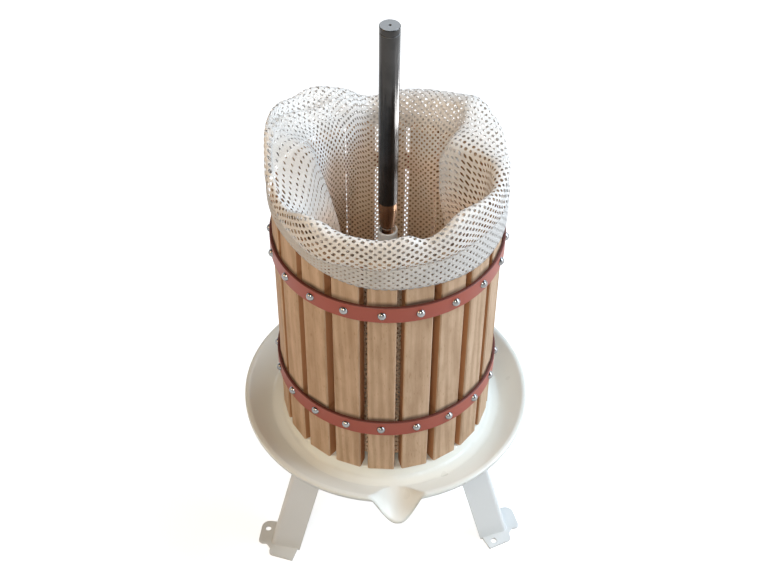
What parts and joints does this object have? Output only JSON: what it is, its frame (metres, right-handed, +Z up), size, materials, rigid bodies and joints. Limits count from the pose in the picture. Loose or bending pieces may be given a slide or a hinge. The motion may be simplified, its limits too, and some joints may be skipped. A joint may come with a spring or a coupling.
{
  "type": "screw fruit press",
  "caption": "Small fruit press: slatted wooden basket with steel hoops and a mesh press bag on a footed tray with a pouring spout, round a central screw-in spindle.",
  "frame": {"origin": "on the spindle's axis, on the ground under the feet", "axes": "+Z up along the spindle, -Y towards the pouring spout, +X to the right seen from the spout"},
  "size_m": [0.3268, 0.3567, 0.677],
  "materials": {
    "cream_paint": "gloss cream enamel",
    "red_paint": "brick red enamel",
    "stave_wood": "oiled beech",
    "screw_chrome": "bright plated",
    "spindle_steel": "polished bar",
    "zinc_steel": "zinc plated",
    "bag_mesh": "knitted white mesh"
  },
  "bodies": {
    "stand": {"tray": "cream_paint", "base_plate": "cream_paint", "leg_left": "cream_paint", "leg_right": "cream_paint", "leg_rear": "cream_paint", "leg_bolts": "zinc_steel", "leg_washers": "zinc_steel", "leg_nuts": "zinc_steel", "centre_post": "cream_paint", "post_washer": "zinc_steel", "post_nut": "zinc_steel"},
    "neck_ring": {"neck_ring": "zinc_steel"},
    "spindle": {"spindle": "spindle_steel"},
    "basket": {"stave_01": "stave_wood", "stave_02": "stave_wood", "stave_03": "stave_wood", "stave_04": "stave_wood", "stave_05": "stave_wood", "stave_06": "stave_wood", "stave_07": "stave_wood", "stave_08": "stave_wood", "stave_09": "stave_wood", "stave_10": "stave_wood", "stave_11": "stave_wood", "stave_12": "stave_wood", "stave_13": "stave_wood", "stave_14": "stave_wood", "stave_15": "stave_wood", "stave_16": "stave_wood", "stave_17": "stave_wood", "stave_18": "stave_wood", "stave_19": "stave_wood", "stave_20": "stave_wood", "upper_hoop": "red_paint", "lower_hoop": "red_paint", "upper_hoop_screws": "screw_chrome", "lower_hoop_screws": "screw_chrome"},
    "bag": {"bag_wall": "bag_mesh", "bag_base": "bag_mesh"}
  },
  "joints": [
    {"name": "spindle_rise", "type": "slide", "parent": "stand", "child": "neck_ring", "axis": [0, 0, 1], "range_m": [0, 0.024]},
    {"name": "spindle_turn", "type": "hinge", "parent": "neck_ring", "child": "spindle", "pos_m": [0, 0, 0.6], "axis": [0, 0, 1], "range_deg": [0, 2880]},
    {"name": "basket_lift", "type": "slide", "parent": "stand", "child": "basket", "axis": [0, 0, 1], "range_m": [0, 0.53]},
    {"name": "bag_lift", "type": "slide", "parent": "basket", "child": "bag", "axis": [0, 0, 1], "range_m": [0, 0.31]}
  ],
  "couplings": [
    {"joint": "spindle_turn", "follows": "spindle_rise", "rad_per_m": 2094.4}
  ]
}
